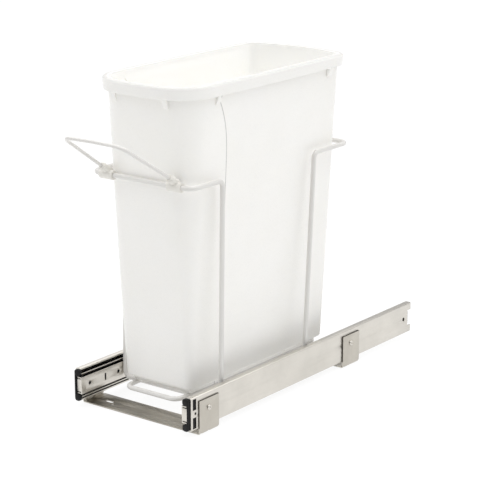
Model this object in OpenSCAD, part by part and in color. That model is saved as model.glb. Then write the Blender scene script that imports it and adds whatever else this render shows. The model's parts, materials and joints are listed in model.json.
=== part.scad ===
// Pull out bin frame: two floor brackets, a pair of three-part ball slides, a welded wire
// carriage with a hinged handle, and a lift-out bin.
// Millimetres, +Z up, the pull is towards -Y. The origin is the centre of the floor slots.

/* [Brackets] */
// width over the bracket flanges
base_w = 198; // [170:1:260]
// depth of each bracket along the slide
bracket_depth = 40; // [30:1:60]
// distance between the two bracket centre lines
bracket_spacing = 318; // [260:1:340]
// sheet thickness of the brackets
bracket_t = 1.6; // [1.2:0.1:2.5]
// height of the bracket flanges
bracket_h = 45.5; // [40:0.5:50]
// front end of the slide ahead of the front bracket
bracket_setback = 14.5; // [8:0.5:30]
// middle of a floor slot inside the bracket flange
slot_inset = 29.5; // [20:0.5:32]
// length of a floor slot
slot_len = 13; // [8:0.5:18]
// width of a floor slot
slot_w = 5.5; // [4:0.1:7]
// pilot hole inside the bracket flange
pilot_inset = 40.5; // [40:0.5:60]
// diameter of a pilot hole
pilot_d = 4; // [3:0.1:5]
// pilot hole ahead of the bracket centre line
pilot_offset = 7; // [0:0.5:12]
// diameter of a rivet shank
rivet_d = 4.8; // [3:0.1:6]
// diameter of a rivet head
rivet_head_d = 7.6; // [6:0.1:10]

/* [Slides] */
// length of the slides
slide_len = 508; // [460:1:560]
// height of the slides
slide_h = 44; // [42:0.5:50]
// underside of the slides above the floor
slide_lift = 8.5; // [6:0.5:15]
// sheet thickness of the slide members
member_t = 1.2; // [1:0.1:1.6]
// thickness of the rolled flanges of the outer members
outer_lip_t = 2.2; // [1.8:0.1:3]
// thickness of the rolled flanges of the two moving members
inner_lip_t = 1.8; // [1.5:0.1:2.5]
// gap between outer and intermediate flanges
outer_race_gap = 3.2; // [2.8:0.1:4]
// gap between intermediate and inner flanges
inner_race_gap = 3; // [2.6:0.1:4]
// depth of a ball race in each flange
race_depth = 0.5; // [0.3:0.05:0.7]
// length of a ball cage
cage_len = 200; // [160:1:220]
// sheet thickness of a ball cage
cage_t = 0.9; // [0.6:0.1:1]
// balls in each row
ball_count = 8; // [4:1:12]

/* [Wire frame] */
// diameter of the frame wire
wire_d = 6.35; // [5:0.05:8]
// hoop wire above the floor
hoop_z = 314.5; // [250:0.5:340]
// length of the frame over the hoop wire centres
hoop_len = 338; // [300:1:360]
// corner radius of the hoops
hoop_r = 14; // [12:1:40]
// side arms of the front hoop
front_arm = 61.5; // [50:0.5:100]
// side arms of the rear hoop
rear_arm = 79; // [50:0.5:100]
// lean of the front legs
front_lean = 1.1; // [0:0.1:4]
// lean of the rear legs
rear_lean = 3.9; // [0:0.1:6]
// bend radius between hoop and leg
shoulder_r = 8; // [6:0.5:12]
// bend radius between leg and cross wire
foot_r = 9; // [6:0.5:12]
// bottom loop wire inside the bracket flange
loop_inset = 55.5; // [50:0.5:60]
// bottom loop wire above the floor
loop_z = 28; // [26:0.5:34]
// bottom loop behind the front of the hoop
loop_front_gap = 12.5; // [8:0.5:30]
// bottom loop ahead of the rear of the hoop
loop_rear_gap = 19; // [8:0.5:40]
// corner radius of the bottom loop
loop_r = 12; // [8:1:24]

/* [Handle] */
// diameter of the handle wire
handle_d = 4.5; // [3.5:0.1:6]
// tilt of the handle above level
handle_tilt = 33; // [20:0.5:50]
// handle bar out from the hoop wire
handle_reach = 113.5; // [80:0.5:130]
// handle arm inside the bracket flange, at the clips
handle_inset = 43.5; // [40:0.5:60]
// each handle arm nearer the middle at the bar
handle_taper = 8; // [4:0.5:14]
// corner radius of the handle
handle_r = 17; // [10:1:24]
// bow of the handle bar
handle_bow = 3; // [1:0.5:6]
// length of a handle clip along the hoop
clip_len = 21; // [16:0.5:26]
// wall of a handle clip round the hoop wire
clip_wall = 3; // [2.5:0.1:3.5]

/* [Bin] */
// height of the rim above the floor
rim_z = 438.3; // [420:0.5:460]
// rim of the bin inside the bracket flange
rim_inset = 13.8; // [13:0.2:20]
// rim of the bin ahead of the front hoop
rim_ahead = 10.5; // [6:0.5:14]
// rim of the bin behind the rear hoop
rim_behind = 9; // [4:0.5:10]
// rim beyond the wall
rim_overhang = 6.8; // [5:0.1:9]
// height of the turned-down rim
skirt_h = 16; // [10:0.5:20]
// wall thickness of the bin
bin_t = 2.4; // [2:0.1:3]
// base of the bin inside the rim at each side
side_taper = 27.2; // [26:0.2:34]
// base of the bin inside the front hoop
foot_front_in = 24; // [20:0.5:40]
// base of the bin inside the rear hoop
foot_rear_in = 19; // [16:0.5:30]
// height of the foot ring under the base
foot_h = 6.8; // [3:0.1:10]
// foot ring inside the edge of the base
foot_inset = 8; // [7:0.5:16]

/* [Hidden] */
$fn = 48;

zinc = [0.72, 0.70, 0.66];
bright = [0.80, 0.80, 0.80];
black = [0.06, 0.06, 0.07];
white = [0.93, 0.93, 0.92];

// small amounts shared by all pieces
quarter_turn = 90;
over = 1;
fit_gap = 0.05;
run_gap = 0.3;
ball_play = 0.2;
weld_gap = 0.1;
// a bend is drawn a hair thicker than the wire, and the straight ends run a little way into it
bend_swell = 0.08;
bend_bite = 0.4;

// brackets
bracket_y = bracket_spacing / 2;
slot_x = base_w / 2 - slot_inset;
pilot_x = base_w / 2 - pilot_inset;
bend_r = 2.5;
// each end of a bracket has one dart on the centre line and one further forward
dart_w = 5;
dart_leg = 5;
dart_places = [0, -15.5];
dart_dent_d = 5;
flange_corner_r = 5;
rivet_up = 1.5;
rivet_head_h = 1.4;
rivet_crown_d = 5;

// slide section: u runs inward from the outer face, heights are measured from the slide centre
slide_face = base_w / 2 - bracket_t;
slide_mid = slide_lift + slide_h / 2;
rivet_z = slide_mid + rivet_up;
slide_front = -bracket_y - bracket_depth / 2 - bracket_setback;
outer_under = slide_h / 2 - outer_lip_t;
mid_top = outer_under - outer_race_gap;
mid_under = mid_top - inner_lip_t;
inner_top = mid_under - inner_race_gap;
inner_under = inner_top - inner_lip_t;
outer_cage_u = member_t + run_gap;
mid_u = outer_cage_u + cage_t + run_gap;
inner_cage_u = mid_u + member_t + run_gap;
inner_u = inner_cage_u + cage_t + run_gap;
ball_in = 2.8;
lip_over = 2.8;
cage_peek = 0.4;
face_proud = 1.7;
outer_ball_u = mid_u + ball_in;
inner_ball_u = inner_u + ball_in;
outer_reach = outer_ball_u + lip_over;
outer_cage_reach = outer_reach - cage_peek;
mid_reach = inner_ball_u + lip_over;
inner_cage_reach = mid_reach + cage_peek;
slide_w = mid_reach + face_proud;
member_face = slide_face - slide_w;
outer_race_r = outer_race_gap / 2 + race_depth;
inner_race_r = inner_race_gap / 2 + race_depth;
outer_ball_z = outer_under - outer_race_gap / 2;
inner_ball_z = mid_under - inner_race_gap / 2;
outer_corner_r = 1.6;
cage_setback = 150;
cage_start = slide_front + cage_setback;
ball_margin = 10;
ball_pitch = (cage_len - 2 * ball_margin) / (ball_count - 1);

// ends of the slide members
mid_proud = 0.4;
mid_short = 11;
inner_proud = 3;
inner_short = 18;
end_tab_w = 8;
end_tab_h = 17;
end_hole_y = 13.3;
end_slot_y = 44;
end_slot_w = 3;
end_slot_h = 9.6;
second_hole_y = 70;
member_hole_d = 5;
window_y = 7;
window_w = 7;
window_low = 5;
front_hole_y = 8.9;
front_hole_d = 3.6;
rear_hole_y = 18.2;
rear_hole_d = 5.5;
notch_depth = 8;
notch_h = 23;
bumper_t = 4;
bulb_low = inner_top + 2 * run_gap;
bulb_r = 3.6;
rear_bumper_len = 5;
rear_bumper_h = 18;

// wire frame
leg_x = member_face - wire_d / 2 - weld_gap;
hoop_front = -hoop_len / 2;
hoop_rear = hoop_len / 2;
cross_z = loop_z - wire_d - weld_gap;
front_shoulder_y = hoop_front + front_arm;
rear_shoulder_y = hoop_rear - rear_arm;
leg_h = hoop_z - cross_z;
front_foot_y = front_shoulder_y - leg_h * tan(front_lean);
rear_foot_y = rear_shoulder_y - leg_h * tan(rear_lean);
loop_x = base_w / 2 - loop_inset;
loop_front = hoop_front + loop_front_gap;
loop_rear = hoop_rear - loop_rear_gap;

// tabs that carry the legs on the inner members
tab_t = 1.6;
tab_w = 24;
tab_h = 14;
tab_up = 2.5;
tab_z = slide_mid + tab_up;
screw_d = 4;
screw_head_d = 8;
screw_head_h = 2.4;
screw_tail = 3;
socket_d = 3;
socket_depth = 1.2;
tab_side = sqrt(pow(wire_d / 2, 2) - pow(wire_d / 2 + weld_gap - tab_t, 2));
front_tab_y = tab_start(front_foot_y, front_lean);
rear_tab_y = tab_start(rear_foot_y, rear_lean);

// handle
clip_x = base_w / 2 - handle_inset;
handle_tip_x = clip_x - handle_taper;
clip_bore_d = wire_d + 2 * fit_gap;
clip_d = clip_bore_d + 2 * clip_wall;
handle_lift = 5;
handle_start = 9;
arm_straight = 26;
arm_bend_r = 60;
bow_bend_r = 150;
saddle_d = 10;
saddle_front = 15;
saddle_back = 3.5;
collar_d = 7.5;
collar_len = 3;
slit_w = 2;
slit_front = 4.5;
slit_back = 5;
slit_floor = 4.5;

// bin
seat_z = loop_z + wire_d / 2 + weld_gap;
base_z = seat_z + foot_h;
skirt_z = rim_z - skirt_h;
mouth_w = base_w - 2 * rim_inset;
mouth_len = hoop_len + rim_ahead + rim_behind;
mouth_y = (rim_behind - rim_ahead) / 2;
foot_w = mouth_w - 2 * side_taper;
foot_len = hoop_len - foot_front_in - foot_rear_in;
foot_y = (foot_front_in - foot_rear_in) / 2;
foot_draft = 0.5;
foot_ring_w = 10;
least_corner = 1;
foot_edge_r = 4;
inner_edge_r = 5;
rim_edge_r = 2.5;
// middle of a quarter round, as a part of its radius
round_mid = 1 - sqrt(0.5);
front_corner_foot = 12;
front_corner_rim = 38;
// the front corners open out faster towards the rim
corner_growth = 1.4;
rear_corner_foot = 10;
rear_corner_rim = 10;
side_bow_foot = 1;
side_bow_rim = 3;
front_bow_foot = 1.5;
front_bow_rim = 8;
rear_bow_foot = 1;
rear_bow_rim = 13.5;
corner_steps = 8;
side_steps = 8;
end_steps = 6;
wall_steps = 4;
rib_t = 5;
rib_drop = 12;
rib_corner_in = 43;
rib_front_in = 69.5;
rib_rear_in = 47;
rib_front_x = mouth_w / 2 - rib_corner_in;
rib_side_front_y = mouth_y - mouth_len / 2 + rib_front_in;
rib_side_rear_y = mouth_y + mouth_len / 2 - rib_rear_in;

function unit(v) = v / norm(v);
function blend(a, b, t) = a + (b - a) * t;

// a path is a list of corner points, each with its bend radius
function heading(p, i) = unit(p[(i + 1) % len(p)] - p[i]);
function arriving(p, i) = heading(p, (i + len(p) - 1) % len(p));
function turning(p, i) = acos(min(1, arriving(p, i) * heading(p, i)));
function setback(p, r, i) = r[i] == 0 ? 0 : r[i] * tan(turning(p, i) / 2) - bend_bite;

module placed(e1, e2, e3, at) {
    multmatrix([
        [e1.x, e2.x, e3.x, at.x],
        [e1.y, e2.y, e3.y, at.y],
        [e1.z, e2.z, e3.z, at.z],
        [0, 0, 0, 1]
    ]) children();
}

module rod(a, b, d) {
    e3 = unit(b - a);
    e1 = unit(cross(abs(e3.z) < 0.9 ? [0, 0, 1] : [1, 0, 0], e3));
    placed(e1, cross(e3, e1), e3, a) cylinder(d = d, h = norm(b - a));
}

module elbow(corner, d1, d2, r, d) {
    angle = acos(d1 * d2);
    start = corner - d1 * r * tan(angle / 2);
    centre = corner + unit(d2 - d1) * r / cos(angle / 2);
    e1 = (start - centre) / r;
    placed(e1, d1, cross(e1, d1), centre)
        rotate_extrude(angle = angle) translate([r, 0]) circle(d = d + bend_swell);
}

module bent_wire(p, r, d, closed) {
    last = len(p) - 1;
    for (i = [0 : closed ? last : last - 1]) {
        next = (i + 1) % len(p);
        rod(p[i] + heading(p, i) * setback(p, r, i), p[next] - heading(p, i) * setback(p, r, next), d);
    }
    for (i = [0 : last])
        if (r[i] > 0) elbow(p[i], arriving(p, i), heading(p, i), r[i], d);
}

module sided(side) {
    if (side > 0) children();
    else mirror([1, 0, 0]) children();
}

// a slide section drawn with its outer face at x = 0, run from y = start over a length
module run_along(start, length) {
    translate([slide_face, start + length, slide_mid]) rotate([90, 0, 0])
        linear_extrude(height = length) children();
}

module both_ways() {
    children();
    mirror([0, 1]) children();
}

module span(u1, u2, z1, z2) {
    translate([-u2, z1]) square([u2 - u1, z2 - z1]);
}

module outer_section() {
    difference() {
        span(0, outer_reach, -slide_h / 2, slide_h / 2);
        span(member_t, outer_reach + over, -outer_under, outer_under);
        both_ways() translate([-outer_ball_u, outer_ball_z]) circle(outer_race_r);
        both_ways() translate([-outer_corner_r, slide_h / 2 - outer_corner_r]) difference() {
            square(outer_corner_r + over);
            circle(outer_corner_r);
        }
    }
}

module mid_section() {
    difference() {
        span(mid_u, mid_reach, -mid_top, mid_top);
        span(mid_u + member_t, mid_reach + over, -mid_under, mid_under);
        both_ways() translate([-outer_ball_u, outer_ball_z]) circle(outer_race_r);
        both_ways() translate([-inner_ball_u, inner_ball_z]) circle(inner_race_r);
    }
}

module inner_section() {
    difference() {
        span(inner_u, slide_w, -inner_top, inner_top);
        span(inner_u - over, slide_w - member_t, -inner_under, inner_under);
        both_ways() translate([-inner_ball_u, inner_ball_z]) circle(inner_race_r);
    }
}

module cage_section(u, reach, z) {
    difference() {
        span(u, reach, -z - cage_t / 2, z + cage_t / 2);
        span(u + cage_t, reach + over, -z + cage_t / 2, z - cage_t / 2);
    }
}

// a hole across the web of a slide member
module web_hole(y, z, d) {
    translate([slide_face - slide_w - over, y, slide_mid + z]) rotate([0, 90, 0])
        cylinder(d = d, h = slide_w + 2 * over);
}

module web_window(y, z, w, h) {
    translate([slide_face - slide_w - over, y - w / 2, slide_mid + z - h / 2])
        cube([slide_w + 2 * over, w, h]);
}

module outer_member(side) {
    window_h = outer_under - window_low;
    rear = slide_front + slide_len;
    color(zinc) sided(side) difference() {
        run_along(slide_front, slide_len) outer_section();
        for (s = [-1, 1])
            web_window(slide_front + window_y, s * (window_low + window_h / 2), window_w, window_h);
        web_hole(slide_front + front_hole_y, 0, front_hole_d);
        web_hole(rear - rear_hole_y, 0, rear_hole_d);
        web_window(rear, 0, 2 * notch_depth, notch_h);
        for (y = [-bracket_y, bracket_y])
            web_hole(y, rivet_z - slide_mid, rivet_d + 2 * fit_gap);
    }
}

module intermediate(side) {
    color(zinc) sided(side)
        run_along(slide_front - mid_proud, slide_len - mid_short + mid_proud) mid_section();
}

module inner_member(side) {
    front = slide_front - inner_proud;
    color(zinc) sided(side) {
        difference() {
            run_along(front, slide_len - inner_short + inner_proud) inner_section();
            web_hole(slide_front + end_hole_y, 0, member_hole_d);
            web_hole(slide_front + second_hole_y, 0, member_hole_d);
            web_window(slide_front + end_slot_y, 0, end_slot_w, end_slot_h);
            for (start = [front_tab_y, rear_tab_y])
                web_hole(start + tab_w / 2, tab_z - slide_mid, screw_d + 2 * fit_gap);
        }
        translate([member_face + member_t / 2, front, slide_mid - end_tab_h / 2])
            cube([end_tab_w - member_t / 2, member_t, end_tab_h]);
    }
}

function ball_y(i) = cage_start + ball_margin + i * ball_pitch;

module cage(side, u, reach, z, ball_u, hole_r) {
    color(black) sided(side) difference() {
        run_along(cage_start, cage_len) cage_section(u, reach, z);
        for (i = [0 : ball_count - 1])
            translate([slide_face - ball_u, ball_y(i), slide_mid - z - cage_t])
                cylinder(r = hole_r, h = 2 * (z + cage_t));
    }
}

module balls(side, ball_u, z, r) {
    color(bright) sided(side)
        for (i = [0 : ball_count - 1], s = [-1, 1])
            translate([slide_face - ball_u, ball_y(i), slide_mid + s * z])
                sphere(r = r);
}

module outer_cage(side) {
    cage(side, outer_cage_u, outer_cage_reach, outer_ball_z, outer_ball_u, outer_race_r);
}

module inner_cage(side) {
    cage(side, inner_cage_u, inner_cage_reach, inner_ball_z, inner_ball_u, inner_race_r);
}

module outer_balls(side) {
    balls(side, outer_ball_u, outer_ball_z, outer_race_r - ball_play);
}

module inner_balls(side) {
    balls(side, inner_ball_u, inner_ball_z, inner_race_r - ball_play);
}

module front_bumper(side) {
    bulb_top = slide_h / 2 - run_gap;
    color(black) sided(side)
        run_along(slide_front - mid_proud - bumper_t, bumper_t) {
            span(outer_cage_u, mid_u + member_t, -bulb_low - bulb_r, bulb_low + bulb_r);
            both_ways() {
                span(outer_cage_u, mid_reach - bulb_r, bulb_low, bulb_top - bulb_r);
                span(outer_cage_u + bulb_r, mid_reach - bulb_r, bulb_low, bulb_top);
                span(mid_reach - 2 * bulb_r, mid_reach, bulb_low + bulb_r, bulb_top - bulb_r);
                for (u = [outer_cage_u + bulb_r, mid_reach - bulb_r])
                    translate([-u, bulb_top - bulb_r]) circle(bulb_r);
                translate([-mid_reach + bulb_r, bulb_low + bulb_r]) circle(bulb_r);
            }
        }
}

module rear_bumper(side) {
    rear = slide_front + slide_len;
    color(black) sided(side)
        run_along(rear - notch_depth - rear_bumper_len / 2, rear_bumper_len)
            span(member_t, outer_reach, -rear_bumper_h / 2, rear_bumper_h / 2);
}

module slot_cut(x, y) {
    for (s = [-1, 1])
        translate([x + s * (slot_len - slot_w) / 2, y, -over])
            cylinder(d = slot_w, h = bracket_t + 2 * over);
    translate([x - (slot_len - slot_w) / 2, y - slot_w / 2, -over])
        cube([slot_len - slot_w, slot_w, bracket_t + 2 * over]);
}

// the flange and darts at one end of a bracket, on the right
module bracket_end(y) {
    translate([slide_face, y - bracket_depth / 2, 0]) cube([bracket_t, bracket_depth, bracket_h]);
    for (place = dart_places)
        translate([slide_face + bracket_t / 2, y + place + dart_w / 2, bracket_t / 2])
            rotate([90, 0, 0]) linear_extrude(height = dart_w)
                polygon([[0, 0], [-dart_leg, 0], [0, dart_leg]]);
}

// what is taken off that end: the bend, the rear corner, the rivet hole and the dents of the darts
module bracket_end_cuts(y) {
    translate([base_w / 2 - bend_r, y - bracket_depth / 2 - over, bend_r]) rotate([-90, 0, 0])
        linear_extrude(height = bracket_depth + 2 * over) difference() {
            square(bend_r + over);
            circle(bend_r);
        }
    translate([slide_face - over, y + bracket_depth / 2 - flange_corner_r, flange_corner_r])
        rotate([90, 0, 90]) linear_extrude(height = bracket_t + 2 * over) difference() {
            translate([0, -flange_corner_r - over]) square(flange_corner_r + over);
            circle(flange_corner_r);
        }
    translate([slide_face - over, y, rivet_z]) rotate([0, 90, 0])
        cylinder(d = rivet_d + 2 * fit_gap, h = bracket_t + 2 * over);
    for (place = dart_places)
        translate([base_w / 2, y + place, 0]) rotate([0, quarter_turn / 2, 0])
            cylinder(d = dart_dent_d, h = 2 * dart_leg, center = true);
}

module bracket(y) {
    color(zinc) difference() {
        union() {
            translate([-base_w / 2, y - bracket_depth / 2, 0]) cube([base_w, bracket_depth, bracket_t]);
            for (side = [-1, 1]) sided(side) bracket_end(y);
        }
        for (side = [-1, 1]) {
            sided(side) bracket_end_cuts(y);
            slot_cut(side * slot_x, y);
            translate([side * pilot_x, y - pilot_offset, -over])
                cylinder(d = pilot_d, h = bracket_t + 2 * over);
        }
    }
}

module bracket_rivets() {
    color(bright) for (side = [-1, 1], y = [-bracket_y, bracket_y])
        sided(side) translate([slide_face - member_t, y, rivet_z]) rotate([0, 90, 0]) {
            cylinder(d = rivet_d, h = member_t + bracket_t);
            translate([0, 0, member_t + bracket_t])
                cylinder(d1 = rivet_head_d, d2 = rivet_crown_d, h = rivet_head_h);
        }
}

module hoop(end_y, shoulder_y, foot_y) {
    color(white) bent_wire(
        [[leg_x, foot_y, cross_z], [leg_x, shoulder_y, hoop_z], [leg_x, end_y, hoop_z],
            [-leg_x, end_y, hoop_z], [-leg_x, shoulder_y, hoop_z], [-leg_x, foot_y, cross_z]],
        [foot_r, shoulder_r, hoop_r, hoop_r, shoulder_r, foot_r], wire_d, true);
}

module bottom_loop() {
    color(white) bent_wire(
        [[loop_x, loop_front, loop_z], [loop_x, loop_rear, loop_z],
            [-loop_x, loop_rear, loop_z], [-loop_x, loop_front, loop_z]],
        [loop_r, loop_r, loop_r, loop_r], wire_d, true);
}

// front edge of a tab behind a leg that leans back by an angle
function tab_start(foot, lean) =
    foot + (tab_z + tab_h / 2 - cross_z) * tan(lean) + tab_side / cos(lean) + weld_gap;

module frame_tab(side, start) {
    color(zinc) sided(side) difference() {
        translate([member_face - tab_t, start, tab_z - tab_h / 2]) cube([tab_t, tab_w, tab_h]);
        translate([member_face - tab_t - over, start + tab_w / 2, tab_z]) rotate([0, 90, 0])
            cylinder(d = screw_d + 2 * fit_gap, h = tab_t + 2 * over);
    }
}

module tab_screws() {
    color(bright) for (side = [-1, 1], start = [front_tab_y, rear_tab_y])
        sided(side) translate([member_face - tab_t, start + tab_w / 2, tab_z])
            rotate([0, 90, 0]) {
                cylinder(d = screw_d, h = tab_t + member_t + screw_tail);
                translate([0, 0, -screw_head_h]) difference() {
                    cylinder(d = screw_head_d, h = screw_head_h);
                    translate([0, 0, -over]) cylinder(d = socket_d, h = socket_depth + over);
                }
            }
}

// a point on the handle, x across and a distance out from the hoop wire
function out(x, reach) = [x,
    hoop_front - reach * cos(handle_tilt) + handle_lift * sin(handle_tilt),
    hoop_z + reach * sin(handle_tilt) + handle_lift * cos(handle_tilt)];

module handle_wire() {
    color(white) bent_wire(
        [out(clip_x, handle_start), out(clip_x, arm_straight), out(handle_tip_x, handle_reach - handle_bow),
            out(0, handle_reach), out(-handle_tip_x, handle_reach - handle_bow), out(-clip_x, arm_straight),
            out(-clip_x, handle_start)],
        [0, arm_bend_r, handle_r, bow_bend_r, handle_r, arm_bend_r, 0], handle_d, false);
}

// drawn level with the handle towards -Y, then tilted about the hoop wire
module handle_clip(x) {
    color(white) translate([x, hoop_front, hoop_z]) rotate([-handle_tilt, 0, 0]) difference() {
        union() {
            translate([-clip_len / 2, 0, 0]) rotate([0, 90, 0]) cylinder(d = clip_d, h = clip_len);
            translate([0, saddle_back, handle_lift]) rotate([90, 0, 0])
                cylinder(d = saddle_d, h = saddle_back + saddle_front);
            translate([0, -saddle_front, handle_lift]) rotate([90, 0, 0])
                cylinder(d = collar_d, h = collar_len);
        }
        translate([-clip_len / 2 - over, 0, 0]) rotate([0, 90, 0])
            cylinder(d = clip_bore_d, h = clip_len + 2 * over);
        translate([0, -handle_start, handle_lift]) rotate([90, 0, 0])
            cylinder(d = handle_d + 2 * fit_gap, h = saddle_front + collar_len);
        translate([-slit_w / 2, -slit_front, slit_floor]) cube([slit_w, slit_front + slit_back, saddle_d]);
    }
}

// plan of the bin at a level, t = 0 at the base and 1 at the rim, moved in by an inset
function level_at(z) = (z - base_z) / (rim_z - base_z);
function wall_half_w(t) = blend(foot_w, mouth_w - 2 * rim_overhang, t) / 2;
function wall_half_len(t) = blend(foot_len, mouth_len - 2 * rim_overhang, t) / 2;
function bin_mid_y(t) = blend(foot_y, mouth_y, t);
function side_bow(t) = blend(side_bow_foot, side_bow_rim, t);
function front_bow(t) = blend(front_bow_foot, front_bow_rim, t);
function rear_bow(t) = blend(rear_bow_foot, rear_bow_rim, t);
function front_corner(t) = blend(front_corner_foot, front_corner_rim, pow(max(t, 0), corner_growth));
function rear_corner(t) = blend(rear_corner_foot, rear_corner_rim, t);

// straight-sided plan with its ends at -hf and hr, anticlockwise from the front right corner
function corner_arc(x, y, r, from) = [for (i = [0 : corner_steps])
    let (a = from + quarter_turn * i / corner_steps) [x + r * cos(a), y + r * sin(a)]];
function between(a, b, steps) = [for (i = [1 : steps - 1]) blend(a, b, i / steps)];
function straight_plan(w, hf, hr, rf, rr) = concat(
    corner_arc(w - rf, rf - hf, rf, -quarter_turn), between([w, rf - hf], [w, hr - rr], side_steps),
    corner_arc(w - rr, hr - rr, rr, 0), between([w - rr, hr], [rr - w, hr], end_steps),
    corner_arc(rr - w, hr - rr, rr, quarter_turn), between([-w, hr - rr], [-w, rf - hf], side_steps),
    corner_arc(rf - w, rf - hf, rf, 2 * quarter_turn), between([rf - w, -hf], [w - rf, -hf], end_steps));

// a point of that plan moved out by the bow of its side and of the end it is nearer to
function bowed(p, w, h, bs, be) = [
    p.x * (1 + bs / w * (1 - pow(p.y / h, 2))), p.y * (1 + be / h * (1 - pow(p.x / w, 2)))];

function bin_plan(z, inset) =
    let (t = level_at(z), bs = side_bow(t), bf = front_bow(t), br = rear_bow(t),
        w = wall_half_w(t) - bs - inset, hf = wall_half_len(t) - bf - inset,
        hr = wall_half_len(t) - br - inset, rf = max(front_corner(t) - inset, least_corner),
        rr = max(rear_corner(t) - inset, least_corner))
    [for (p = straight_plan(w, hf, hr, rf, rr))
        let (q = p.y < 0 ? bowed(p, w, hf, bs, bf) : bowed(p, w, hr, bs, br))
            [q.x, q.y + bin_mid_y(t), z]];

// from under the base out round the foot ring, up to the skirt, over the rim and down to the floor
function wall_rings(from, to, inset) =
    [for (i = [0 : wall_steps]) [blend(from, to, i / wall_steps), inset]];
bin_rings = concat([
        [base_z, foot_inset + foot_ring_w], [seat_z, foot_inset + foot_ring_w],
        [seat_z, foot_inset], [base_z, foot_inset - foot_draft], [base_z, foot_edge_r],
        [base_z + round_mid * foot_edge_r, round_mid * foot_edge_r]
    ], wall_rings(base_z + foot_edge_r, rim_z - bin_t, 0), [
        [rim_z - bin_t, bin_t - rim_overhang], [skirt_z, bin_t - rim_overhang],
        [skirt_z, -rim_overhang], [rim_z - rim_edge_r, -rim_overhang],
        [rim_z - round_mid * rim_edge_r, round_mid * rim_edge_r - rim_overhang],
        [rim_z, rim_edge_r - rim_overhang], [rim_z, bin_t / 2]
    ], wall_rings(rim_z - bin_t / 2, base_z + bin_t + inner_edge_r, bin_t), [
        [base_z + bin_t + round_mid * inner_edge_r, bin_t + round_mid * inner_edge_r],
        [base_z + bin_t, bin_t + inner_edge_r]
    ]);

module bin_shell() {
    plans = [for (r = bin_rings) bin_plan(r[0], r[1])];
    n = len(plans[0]);
    last = len(plans) - 1;
    walls = [for (k = [0 : last - 1], i = [0 : n - 1])
        let (a = k * n + i, b = k * n + (i + 1) % n) each [[a, a + n, b + n], [a, b + n, b]]];
    foot = [[for (i = [0 : n - 1]) i]];
    floor = [[for (i = [n - 1 : -1 : 0]) last * n + i]];
    polyhedron(points = [for (p = plans) each p], faces = concat(walls, foot, floor), convexity = 6);
}

// a gusset under the rim, at a place on the wall and along the outward direction
module gusset(x, y, angle) {
    translate([x, y, skirt_z]) rotate([0, 0, angle]) hull() {
        translate([-bin_t / 2, -rib_t / 2, 0]) cube([rim_overhang - bin_t / 2, rib_t, skirt_h - bin_t]);
        translate([-bin_t / 2, -rib_t / 2, -rib_drop]) cube([bin_t / 2, rib_t, rib_drop]);
    }
}

module bin() {
    t = level_at(skirt_z);
    half_w = wall_half_w(t);
    half_len = wall_half_len(t);
    front_in = front_bow(t) * pow(rib_front_x / half_w, 2);
    rear_in = rear_bow(t) * pow(rib_front_x / half_w, 2);
    side_in = side_bow(t) * pow(rib_side_rear_y / half_len, 2);
    color(white) {
        bin_shell();
        for (s = [-1, 1]) {
            gusset(s * rib_front_x, bin_mid_y(t) - half_len + front_in, -quarter_turn);
            gusset(s * rib_front_x, bin_mid_y(t) + half_len - rear_in, quarter_turn);
            gusset(s * (half_w - side_in), rib_side_front_y, (1 - s) * quarter_turn);
            gusset(s * (half_w - side_in), rib_side_rear_y, (1 - s) * quarter_turn);
        }
    }
}

bracket(-bracket_y);  // front_bracket
bracket(bracket_y);  // rear_bracket
bracket_rivets();
outer_member(1);  // outer_member_right
outer_member(-1);  // outer_member_left
rear_bumper(1);  // rear_bumper_right
rear_bumper(-1);  // rear_bumper_left
outer_cage(1);  // outer_cage_right
outer_cage(-1);  // outer_cage_left
outer_balls(1);  // outer_balls_right
outer_balls(-1);  // outer_balls_left
intermediate(1);  // intermediate_right
intermediate(-1);  // intermediate_left
front_bumper(1);  // front_bumper_right
front_bumper(-1);  // front_bumper_left
inner_cage(1);  // inner_cage_right
inner_cage(-1);  // inner_cage_left
inner_balls(1);  // inner_balls_right
inner_balls(-1);  // inner_balls_left
inner_member(1);  // inner_member_right
inner_member(-1);  // inner_member_left
hoop(hoop_front, front_shoulder_y, front_foot_y);  // front_hoop
hoop(hoop_rear, rear_shoulder_y, rear_foot_y);  // rear_hoop
bottom_loop();
frame_tab(1, front_tab_y);  // front_tab_right
frame_tab(-1, front_tab_y);  // front_tab_left
frame_tab(1, rear_tab_y);  // rear_tab_right
frame_tab(-1, rear_tab_y);  // rear_tab_left
tab_screws();
handle_wire();
handle_clip(clip_x);  // handle_clip_right
handle_clip(-clip_x);  // handle_clip_left
bin();
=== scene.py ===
"""Dresses the packed pull-out bin frame and sets it in a plain studio.

The packed solids are the frame. Operators build the moulded bin, the bent wires, the pressed and rolled
steel pieces, the fasteners and the stage round it, and every piece rides on its own body.
"""
import json
import math

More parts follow.
